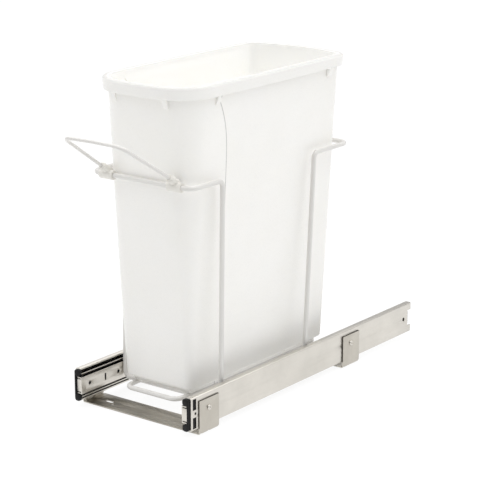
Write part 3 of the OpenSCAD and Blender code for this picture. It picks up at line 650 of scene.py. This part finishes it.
class Outline:
    """Plan of the bin at any height, as columns that keep their order from level to level."""

    # each of these pairs is for the base and the rim
    front_corner = (12 * MM, 38 * MM)
    rear_corner = (10 * MM, 10 * MM)
    side_bow = (1 * MM, 3 * MM)
    front_bow = (1.5 * MM, 8 * MM)
    rear_bow = (1 * MM, 13.5 * MM)
    # the front corners open out faster towards the rim
    corner_growth = 1.4
    least_corner = 1 * MM
    corner_steps = 10
    end_steps = 9
    ahead_steps = 5
    panel_steps = 22
    # columns across the front edge of a side panel, and the least room ahead of them and between them
    panel_edge = (-1.1 * MM, -0.75 * MM, -0.45 * MM, -0.15 * MM, 0.15 * MM, 0.45 * MM, 0.75 * MM, 1.1 * MM)
    least_ahead = 1 * MM
    least_gap = 0.1 * MM
    # the panel sinks in over these lengths, at its lower end from a start above the base
    front_ease, rear_ease, low_ease, low_start = 1.9 * MM, 14 * MM, 26 * MM, 10 * MM
    # its edge stops sweeping a little above the skirt's lower edge
    sweep_stop = 1.05
    # it fades out across the ends by this power, and stops this share of a corner before them
    end_fade = 8
    end_share = 0.3

    def __init__(self, sizes):
        self.sizes = sizes
        self.base_z = SEAT_Z + sizes.foot_h
        self.skirt_z = RIM_Z - sizes.skirt
        self.mouth_w = high("bin").x - low("bin").x
        self.mouth_len = high("bin").y - low("bin").y
        self.mouth_y = (high("bin").y + low("bin").y) / 2

    def level(self, z):
        """0 at the base and 1 at the rim."""
        return (z - self.base_z) / (RIM_Z - self.base_z)

    def half_sizes(self, t):
        """Half width and half length of the wall."""
        sizes = self.sizes
        return (blend(sizes.foot_w, self.mouth_w - 2 * sizes.overhang, t) / 2,
                blend(sizes.foot_len, self.mouth_len - 2 * sizes.overhang, t) / 2)

    def middle(self, t):
        """Middle of the plan along Y."""
        return blend(self.sizes.foot_y, self.mouth_y, t)

    def edge_y(self, z):
        """Front edge of the side panel: straight, then swept forward up to the rim."""
        sizes = self.sizes
        rise = max(0.0, z - sizes.panel_turn) / (self.skirt_z - sizes.panel_turn)
        return sizes.panel_front - sizes.panel_sweep * min(rise, self.sweep_stop) ** PANEL_CURVE

    def sunk(self, y, z, rear):
        """How far the side panel lies in at a place, as a share of its depth."""
        ahead = smooth((y - self.edge_y(z)) / self.front_ease + 0.5)
        behind = smooth((rear - y) / self.rear_ease)
        under = smooth((z - self.base_z - self.low_start) / self.low_ease)
        over = 1 - smooth((z - self.skirt_z) / (self.sizes.skirt - 2 * self.sizes.wall))
        return ahead * behind * under * over

    def corner(self, x, y, radius, start):
        """A quarter round about a point, from a starting angle."""
        turns = [start + math.pi / 2 * i / self.corner_steps for i in range(self.corner_steps + 1)]
        return [(x + radius * math.cos(a), y + radius * math.sin(a)) for a in turns]

    def right_half(self, w, ends, radii, z, middle):
        """Straight-sided right half of the plan, from the front middle round to the rear middle."""
        (front, rear), (front_r, rear_r) = ends, radii
        start, stop, edge = front_r - front, rear - rear_r, self.edge_y(z) - middle
        first = max(edge + self.panel_edge[0], start + self.least_ahead)
        last = edge + self.panel_edge[-1]
        half = [(x * (w - front_r) / self.end_steps, -front) for x in range(self.end_steps)]
        half += self.corner(w - front_r, start, front_r, -math.pi / 2)
        half += [(w, blend(start, first, i / self.ahead_steps)) for i in range(1, self.ahead_steps + 1)]
        half += [(w, max(edge + step, first + (k + 1) * self.least_gap))
                 for k, step in enumerate(self.panel_edge[1:])]
        half += [(w, blend(last, stop, i / self.panel_steps)) for i in range(1, self.panel_steps)]
        half += self.corner(w - rear_r, stop, rear_r, 0.0)
        half += [((w - rear_r) * (1 - x / self.end_steps), rear) for x in range(1, self.end_steps)]
        return half + [(0.0, rear)]

    def ring(self, z, inset):
        """Points round the plan at a height, moved in by an inset."""
        t = self.level(z)
        half_w, half_len = self.half_sizes(t)
        side, bows = blend(*self.side_bow, t), (blend(*self.front_bow, t), blend(*self.rear_bow, t))
        w, ends = half_w - side - inset, [half_len - bow - inset for bow in bows]
        corners = (blend(*self.front_corner, max(t, 0.0) ** self.corner_growth), blend(*self.rear_corner, t))
        radii = [max(corner - inset, self.least_corner) for corner in corners]
        middle = self.middle(t)
        half = []
        for x, y in self.right_half(w, ends, radii, z, middle):
            end, bow = (ends[0], bows[0]) if y < 0 else (ends[1], bows[1])
            bx = x * (1 + side / w * (1 - (y / end) ** 2))
            by = y * (1 + bow / end * (1 - (x / w) ** 2)) + middle
            if abs(y) < end - max(radii) * self.end_share:
                depth = self.sizes.panel_depth * self.sunk(by, z, middle + ends[1] - radii[1])
                bx -= depth * (x / w) ** self.end_fade
            half.append((bx, by, z))
        return half + [(-x, y, z) for x, y, z in half[-2:0:-1]]


def rounded(centre_z, centre_in, radius, start, stop, steps):
    """Levels along an arc in the section of the bin, as (height, inset) with angles in degrees."""
    turns = [math.radians(blend(start, stop, i / steps)) for i in range(steps + 1)]
    return [(centre_z + radius * math.sin(a), centre_in - radius * math.cos(a)) for a in turns]


def straight(start, stop, inset, steps):
    """Levels at one inset, from just after a start height to a stop."""
    return [(blend(start, stop, i / steps), inset) for i in range(1, steps + 1)]


def bin_section(plan, sizes):
    """Levels of the bin from under the base, out round the foot, up, over the rim and down to the floor."""
    foot_in, ring_in = sizes.foot_inset, sizes.foot_inset + sizes.foot_ring
    soft, edge, floor_r, rim_r, lip_r = 1.2 * MM, 4 * MM, 5 * MM, 2.5 * MM, 1.1 * MM
    draft, step = 0.4 * MM, 0.5 * MM
    wall_steps, skirt_steps = 16, 5
    base, skirt, wall, over = plan.base_z, plan.skirt_z, sizes.wall, sizes.overhang
    inner, high_wall, floor_z = wall - over, RIM_Z - wall, base + wall + floor_r
    turn = sizes.panel_turn
    levels = [(base, ring_in), (SEAT_Z + soft, ring_in)]
    levels += rounded(SEAT_Z + soft, ring_in - soft, soft, 180, 270, 4)
    levels += rounded(SEAT_Z + soft, foot_in + soft, soft, 270, 360, 4)
    levels += [(base, foot_in - draft), (base, edge + step)]
    levels += rounded(base + edge, edge, edge, 270, 360, 6)
    levels += straight(base + edge, turn, 0.0, wall_steps)
    levels += straight(turn, skirt, 0.0, wall_steps)
    levels += straight(skirt, high_wall, 0.0, skirt_steps)
    levels += [(high_wall, inner), (skirt + lip_r, inner)]
    levels += rounded(skirt + lip_r, inner - lip_r, lip_r, 180, 360, 8)
    levels += [(blend(skirt + lip_r, RIM_Z - rim_r, 0.5), -over)]
    levels += rounded(RIM_Z - rim_r, rim_r - over, rim_r, 0, 90, 6)
    levels += rounded(RIM_Z - lip_r, wall - lip_r, lip_r, 90, 180, 5)
    levels += straight(high_wall, skirt, wall, skirt_steps)
    levels += straight(skirt, turn, wall, wall_steps)
    levels += straight(turn, floor_z, wall, wall_steps)[:-1]
    return levels + rounded(floor_z, wall + floor_r, floor_r, 360, 270, 6)


def gusset(bm, place, outward, sizes):
    """Adds one wedge under the rim: thick under the skirt and fading into the wall."""
    toe, tip, chamfer = 0.2 * MM, 0.9 * MM, 0.6 * MM
    along = Vector((-outward.y, outward.x, 0)) * sizes.rib_t / 2
    sunk, reach = -sizes.wall / 2, sizes.overhang - sizes.wall / 2
    skirt_in = sizes.skirt - 1.5 * sizes.wall
    outline = [(sunk, skirt_in), (reach, skirt_in), (reach, tip), (reach - chamfer, 0.0),
               (toe, -sizes.rib_drop), (sunk, -sizes.rib_drop)]
    skin(bm, [[place + outward * out + along * side + Vector((0, 0, up)) for out, up in outline]
              for side in (1, -1)])


def joined(name, base, extra):
    """The union of two closed meshes."""
    first, second = (linked(name + "_part", mesh) for mesh in (base, extra))
    union = first.modifiers.new("union", "BOOLEAN")
    union.operation = "UNION"
    union.solver = "EXACT"
    union.use_self = True
    union.object = second
    result = settled(first)
    for obj in (first, second):
        bpy.data.objects.remove(obj)
    return result


class BINFRAME_OT_bin(bpy.types.Operator):
    """Moulds the tapered bin with its skirted rim, gussets, side panels and foot ring"""
    bl_idname = "binframe.bin"
    bl_label = "Bin"

    def execute(self, context):
        sizes = context.scene.binframe_bin
        plan = Outline(sizes)
        shell = loft("bin_shell", [plan.ring(z, inset) for z, inset in bin_section(plan, sizes)])
        t = plan.level(plan.skirt_z)
        half_w, half_len = plan.half_sizes(t)
        middle, z = plan.middle(t), plan.skirt_z
        front_x, side_front, side_rear = 42.2 * MM, -110 * MM, 131 * MM
        end_in = {way: blend(*bow, t) * (front_x / half_w) ** 2
                  for way, bow in ((-1, plan.front_bow), (1, plan.rear_bow))}
        bm = bmesh.new()
        for side in SIDES.values():
            for way in (-1, 1):
                place = Vector((side * front_x, middle + way * (half_len - end_in[way]), z))
                gusset(bm, place, Vector((0, way, 0)), sizes)
            for y in (side_front, side_rear):
                side_in = blend(*plan.side_bow, t) * ((y - middle) / half_len) ** 2
                gusset(bm, Vector((side * (half_w - side_in), y, z)), Vector((side, 0, 0)), sizes)
        bmesh.ops.recalc_face_normals(bm, faces=bm.faces)
        mesh = joined("bin", shell, from_bmesh("bin_gussets", bm))
        piece("bin_moulding", mesh, ["bin"], "moulded_bin")
        return {"FINISHED"}


def foot_y(node, shoulder):
    """Place of a hoop's feet along Y, from its leaning legs."""
    return shoulder - (HOOP_Z - CROSS_Z) * math.tan(LEG_LEAN[node])


def handle_point(sizes, across, out):
    """A point of the handle, across and out from the hoop wire at the handle's tilt."""
    cos, sin, lift = math.cos(sizes.handle_tilt), math.sin(sizes.handle_tilt), sizes.handle_lift
    return (across, HOOP_Y - out * cos + lift * sin, HOOP_Z + out * sin + lift * cos)


class BINFRAME_OT_wires(bpy.types.Operator):
    """Bends the two hoops, the bottom loop and the handle from wire"""
    bl_idname = "binframe.wires"
    bl_label = "Wires"

    def execute(self, context):
        sizes = context.scene.binframe_wires
        bends = [sizes.foot_r, sizes.shoulder_r, sizes.hoop_r]
        for node, shoulder, end in (("front_hoop", sizes.front_shoulder, HOOP_Y),
                                    ("rear_hoop", sizes.rear_shoulder, high("rear_hoop").y - WIRE_R)):
            foot = foot_y(node, shoulder)
            right = [(LEG_X, foot, CROSS_Z), (LEG_X, shoulder, HOOP_Z), (LEG_X, end, HOOP_Z)]
            path = right + [(-x, y, z) for x, y, z in reversed(right)]
            wire(node + "_wire", path, bends + bends[::-1], WIRE_R, True, node)
        lo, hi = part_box("bottom_loop")
        x, front, rear = hi.x - WIRE_R, lo.y + WIRE_R, hi.y - WIRE_R
        path = [(x, front, LOOP_Z), (x, rear, LOOP_Z), (-x, rear, LOOP_Z), (-x, front, LOOP_Z)]
        wire("bottom_loop_wire", path, [sizes.loop_r] * 4, WIRE_R, True, "bottom_loop")
        arm = [(sizes.handle_x, sizes.handle_start), (sizes.handle_x, sizes.handle_straight),
               (sizes.handle_tip_x, sizes.handle_reach - sizes.handle_bow)]
        flat = arm + [(0.0, sizes.handle_reach)] + [(-across, out) for across, out in reversed(arm)]
        turns = [0.0, sizes.arm_r, sizes.handle_r, sizes.bow_r, sizes.handle_r, sizes.arm_r, 0.0]
        path = [handle_point(sizes, across, out) for across, out in flat]
        wire("handle_bail_wire", path, turns, sizes.handle_d / 2, False, "handle_wire")
        return {"FINISHED"}


class BINFRAME_OT_welds(bpy.types.Operator):
    """Lays the weld beads where the wires cross and where the legs meet their tabs"""
    bl_idname = "binframe.welds"
    bl_label = "Welds"

    def execute(self, context):
        sizes = context.scene.binframe_wires
        bead, loop_x = sizes.bead, high("bottom_loop").x - WIRE_R
        seam_out, seam_wide, seam_tall = 0.4, 0.5, 0.43
        spots = []
        for side, sign in SIDES.items():
            for end, shoulder in (("front_", sizes.front_shoulder), ("rear_", sizes.rear_shoulder)):
                crossing = (sign * loop_x, foot_y(end + "hoop", shoulder), (LOOP_Z + CROSS_Z) / 2)
                spots.append((crossing, (1, 0, 0), (bead, bead, bead / 2)))
                lo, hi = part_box(end + "tab_" + side)
                seam = (lo.x if sign > 0 else hi.x, lo.y, (lo.z + hi.z) / 2)
                size = (bead * seam_out, bead * seam_wide, (hi.z - lo.z) * seam_tall)
                spots.append((seam, (1, 0, 0), size))
        bm = ball()
        for vert in bm.verts:
            # waves of a few percent make the bead uneven
            x, y, z = vert.co
            vert.co *= 1 + 0.05 * math.sin(7 * x + 2) * math.sin(6 * y + 1) + 0.04 * math.sin(14 * z)
        repeated("weld_bead_set", from_bmesh("bead", bm), spots, ["front_hoop"], "coated_wire", stands=False)
        return {"FINISHED"}


class BINFRAME_OT_clips(bpy.types.Operator):
    """Finishes the two plastic clips that hold the handle on the hoop"""
    bl_idname = "binframe.clips"
    bl_label = "Handle clips"

    def execute(self, context):
        edge = context.scene.binframe_steel.moulded_edge
        for side in SIDES:
            eased_copy("handle_clip_" + side, "_moulding", edge, "moulded_clip")
        return {"FINISHED"}


class BINFRAME_OT_brackets(bpy.types.Operator):
    """Finishes the floor brackets and the tabs as pressed sheet"""
    bl_idname = "binframe.brackets"
    bl_label = "Brackets and tabs"

    def execute(self, context):
        edge = context.scene.binframe_steel.sheet_edge
        for node in ("front_bracket", "rear_bracket"):
            eased_copy(node, "_pressing", edge, "zinc_across")
        for end in ("front_tab_", "rear_tab_"):
            for side in SIDES:
                eased_copy(end + side, "_pressing", edge, "zinc_along")
        return {"FINISHED"}


class BINFRAME_OT_slides(bpy.types.Operator):
    """Finishes the rolled members of both slides, their bumpers and their ball cages"""
    bl_idname = "binframe.slides"
    bl_label = "Slides"

    def execute(self, context):
        sizes = context.scene.binframe_steel
        for side in SIDES:
            for node in ("outer_member_", "intermediate_", "inner_member_"):
                eased_copy(node + side, "_rolled", sizes.roll_edge, "zinc_along")
            front, rear = "front_bumper_" + side, "rear_bumper_" + side
            eased_copy(front, "_moulding", sizes.moulded_edge, "moulded_black", self.tongue(front, sizes))
            eased_copy(rear, "_moulding", sizes.moulded_edge, "moulded_rubber")
            for node in ("outer_cage_", "inner_cage_"):
                frame["nodes"][node + side].material_slots[0].material = finishes()["moulded_black"]
        return {"FINISHED"}

    def tongue(self, node, sizes):
        """The flat tongue of a front bumper that lies behind the windows of its outer member."""
        lo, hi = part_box(node)
        outer, way = (lo.x, -1) if lo.x < 0 else (hi.x, 1)
        middle = (lo.z + hi.z) / 2
        xs = sorted((outer, outer - way * sizes.tongue_t))
        ys = ((lo.y + hi.y) / 2, hi.y + sizes.tongue_len)
        zs = (middle - sizes.tongue_h / 2, middle + sizes.tongue_h / 2)
        bm = bmesh.new()
        bmesh.ops.create_cube(bm, size=1.0)
        for vert in bm.verts:
            vert.co = [spread[0] if c < 0 else spread[1] for c, spread in zip(vert.co, (xs, ys, zs))]
        return from_bmesh(node + "_tongue", bm)


class BINFRAME_OT_balls(bpy.types.Operator):
    """Sets the ball rows of both slides"""
    bl_idname = "binframe.balls"
    bl_label = "Balls"

    def execute(self, context):
        in_row = 8
        for node in [kind + side for side in SIDES for kind in ("outer_balls_", "inner_balls_")]:
            lo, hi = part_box(node)
            radius = (hi.x - lo.x) / 2
            spots = []
            for i in range(in_row):
                y = blend(lo.y + radius, hi.y - radius, i / (in_row - 1))
                for z in (lo.z + radius, hi.z - radius):
                    spots.append(((lo.x + radius, y, z), (1, 0, 0), (radius,) * 3))
            repeated(node + "_set", from_bmesh("ball", ball()), spots, [node], "polished_steel")
        return {"FINISHED"}


class BINFRAME_OT_fasteners(bpy.types.Operator):
    """Sets the bracket rivets and the tab screws"""
    bl_idname = "binframe.fasteners"
    bl_label = "Rivets and screws"

    def execute(self, context):
        sizes = context.scene.binframe_steel
        self.rivets(sizes)
        self.screws(sizes)
        return {"FINISHED"}

    def rivets(self, sizes):
        """Hollow rivets through the bracket flanges into the outer members."""
        lo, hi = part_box("bracket_rivets")
        head, height = sizes.rivet_head / 2, sizes.rivet_height
        crown, hollow = sizes.rivet_crown / 2, sizes.rivet_hollow / 2
        shank, grip, depth, soft, brim = 2.4 * MM, 1.2 * MM, 0.8 * MM, 0.2 * MM, 0.15 * MM
        tail = hi.x - height - high("outer_member_right").x + grip
        outline = [(-tail, 0.0), (-tail, shank), (0.0, shank), (0.0, head - brim), (brim, head)]
        outline += [(height * math.sin(a), blend(crown, head, math.cos(a)))
                    for a in map(math.radians, (20, 40, 60, 78))]
        outline += [(height, crown - soft), (height, hollow + soft), (height - soft, hollow),
                    (height - depth, hollow), (height - depth, 0.0)]
        spots = [((side * (hi.x - height), y, (lo.z + hi.z) / 2), (side, 0, 0), (1, 1, 1))
                 for side in SIDES.values() for y in (lo.y + head, hi.y - head)]
        shape = turned("rivet", outline, steps=32)
        repeated("bracket_rivet_set", shape, spots, ["bracket_rivets"], "zinc_along")

    def screws(self, sizes):
        """Round-headed screws that hold the tabs on the inner members."""
        lo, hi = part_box("tab_screws")
        head, height, shank = sizes.screw_head / 2, sizes.screw_height, sizes.screw_d / 2
        socket, depth, point, soft, lip = 1.5 * MM, 1.2 * MM, 0.4 * MM, 0.2 * MM, 0.25 * MM
        upright, dome, flat = 0.45, 0.5, 0.62
        inner = low("front_tab_right").x - height
        tail = hi.x - inner - height
        outline = [(-tail, 0.0), (-tail, shank - point), (point - tail, shank), (0.0, shank)]
        outline += [(0.0, head - soft), (soft, head), (height * upright, head)]
        outline += [(height * (upright + dome * math.sin(a)), head * blend(flat, 1.0, math.cos(a)))
                    for a in map(math.radians, (25, 50, 75))]
        outline += [(height, socket + lip), (height - soft, socket), (height - depth, socket),
                    (height - depth - point, 0.0)]
        spots = []
        for tab in ("front_tab_", "rear_tab_"):
            for side, sign in SIDES.items():
                y = (low(tab + side).y + high(tab + side).y) / 2
                spots.append(((sign * (inner + height), y, (lo.z + hi.z) / 2), (-sign, 0, 0), (1, 1, 1)))
        shape = turned("tab_screw", outline, steps=30)
        repeated("tab_screw_set", shape, spots, ["tab_screws"], "polished_steel")


class BINFRAME_OT_stage(bpy.types.Operator):
    """Lays the pale floor and sets the soft light and the camera"""
    bl_idname = "binframe.stage"
    bl_label = "Stage"

    def execute(self, context):
        sizes, scene = context.scene.binframe_stage, context.scene
        reach = sizes.floor_reach
        corners = [(-reach, -reach, 0), (reach, -reach, 0), (reach, reach, 0), (-reach, reach, 0)]
        floor = linked("floor", plain_mesh("floor", corners, faces=[(0, 1, 2, 3)]))
        finish = Finish("pale_floor")
        finish.dress({"Base Color": (*sizes.floor, 1.0), "Roughness": 0.9, "Specular IOR Level": 0.0,
                      "Emission Color": (1.0, 1.0, 1.0, 1.0), "Emission Strength": sizes.floor_glow})
        floor.data.materials.append(finish.material)
        self.surround(scene, sizes)
        self.softbox("key_softbox", place=(2.2, 0.9, 1.3), aim=(0.05, 0.0, 0.2), size=1.6, watts=sizes.key)
        self.softbox("top_softbox", place=(0.0, 0.2, 2.4), aim=(0.0, 0.0, 0.2), size=2.0, watts=sizes.top)
        camera = linked("camera", bpy.data.cameras.new("camera"))
        camera.data.lens = sizes.focal
        camera.data.sensor_width = 36.0
        camera.location = sizes.camera
        camera.rotation_euler = (math.pi / 2 - sizes.pitch, 0.0, sizes.turn)
        scene.camera = camera
        scene.view_settings.view_transform = "Standard"
        return {"FINISHED"}

    def surround(self, scene, sizes):
        """A white surround that is brighter overhead and dimmer behind the camera."""
        world = bpy.data.worlds.new("studio")
        world.use_nodes = True
        scene.world = world
        tree = world.node_tree
        looking = tree.nodes.new("ShaderNodeTexCoord").outputs["Generated"]
        toward = (math.sin(sizes.turn), -math.cos(sizes.turn), 0.0)
        # each has a way to look, where it starts and ends by the cosine, and the strength at both
        behind = (toward, (0.4, 1.0), (sizes.sky, sizes.sky * (1 - sizes.dim)))
        overhead = ((0.0, 0.0, 1.0), (0.3, 0.9), (1.0, sizes.zenith))
        fades = []
        for way, reach, strength in (behind, overhead):
            part = add_node(tree, "ShaderNodeVectorMath", {0: looking, 1: way}, operation="DOT_PRODUCT")
            limits = dict(zip(("From Min", "From Max", "To Min", "To Max"), reach + strength))
            fade = add_node(tree, "ShaderNodeMapRange", {"Value": part.outputs["Value"], **limits},
                            interpolation_type="SMOOTHSTEP")
            fades.append(fade.outputs["Result"])
        product = add_node(tree, "ShaderNodeMath", dict(enumerate(fades)), operation="MULTIPLY")
        back = tree.nodes["Background"].inputs
        feed(tree, back["Strength"], product.outputs["Value"])
        feed(tree, back["Color"], (1.0, 1.0, 1.0, 1.0))

    def softbox(self, name, place, aim, size, watts):
        """A square area light that faces a point."""
        light = bpy.data.lights.new(name, "AREA")
        light.shape = "SQUARE"
        light.size = size
        light.energy = watts
        obj = linked(name, light)
        obj.location = place
        obj.rotation_euler = (Vector(aim) - Vector(place)).to_track_quat("-Z", "Y").to_euler()


OPERATORS = (BINFRAME_OT_stage, BINFRAME_OT_bin, BINFRAME_OT_wires, BINFRAME_OT_welds, BINFRAME_OT_clips,
             BINFRAME_OT_brackets, BINFRAME_OT_slides, BINFRAME_OT_balls, BINFRAME_OT_fasteners)


class BINFRAME_PT_panel(bpy.types.Panel):
    """Lists the sizes, the finishes and the pieces"""
    bl_label = "Bin frame"
    bl_idname = "BINFRAME_PT_panel"
    bl_space_type = "VIEW_3D"
    bl_region_type = "UI"
    bl_category = "Bin frame"

    def draw(self, context):
        for name, group in GROUPS.items():
            box = self.layout.box()
            box.label(text=group.__doc__)
            for field in group.__annotations__:
                label = field.replace("_", " ").capitalize()
                box.prop(getattr(context.scene, name), field, text=label)
        for operator in OPERATORS:
            self.layout.operator(operator.bl_idname)


CLASSES = tuple(GROUPS.values()) + OPERATORS + (BINFRAME_PT_panel,)


def register():
    """Registers the classes and hangs the sizes on the scene."""
    for cls in CLASSES:
        bpy.utils.register_class(cls)
    for name, group in GROUPS.items():
        setattr(bpy.types.Scene, name, bpy.props.PointerProperty(type=group))


def unregister():
    """Undoes register."""
    for name in GROUPS:
        delattr(bpy.types.Scene, name)
    for cls in reversed(CLASSES):
        bpy.utils.unregister_class(cls)


def main():
    """Registers the classes and builds everything in order."""
    register()
    bpy.ops.binframe.stage()
    bpy.ops.binframe.bin()
    bpy.ops.binframe.wires()
    bpy.ops.binframe.welds()
    bpy.ops.binframe.clips()
    bpy.ops.binframe.brackets()
    bpy.ops.binframe.slides()
    bpy.ops.binframe.balls()
    bpy.ops.binframe.fasteners()


if __name__ == "__main__":
    main()
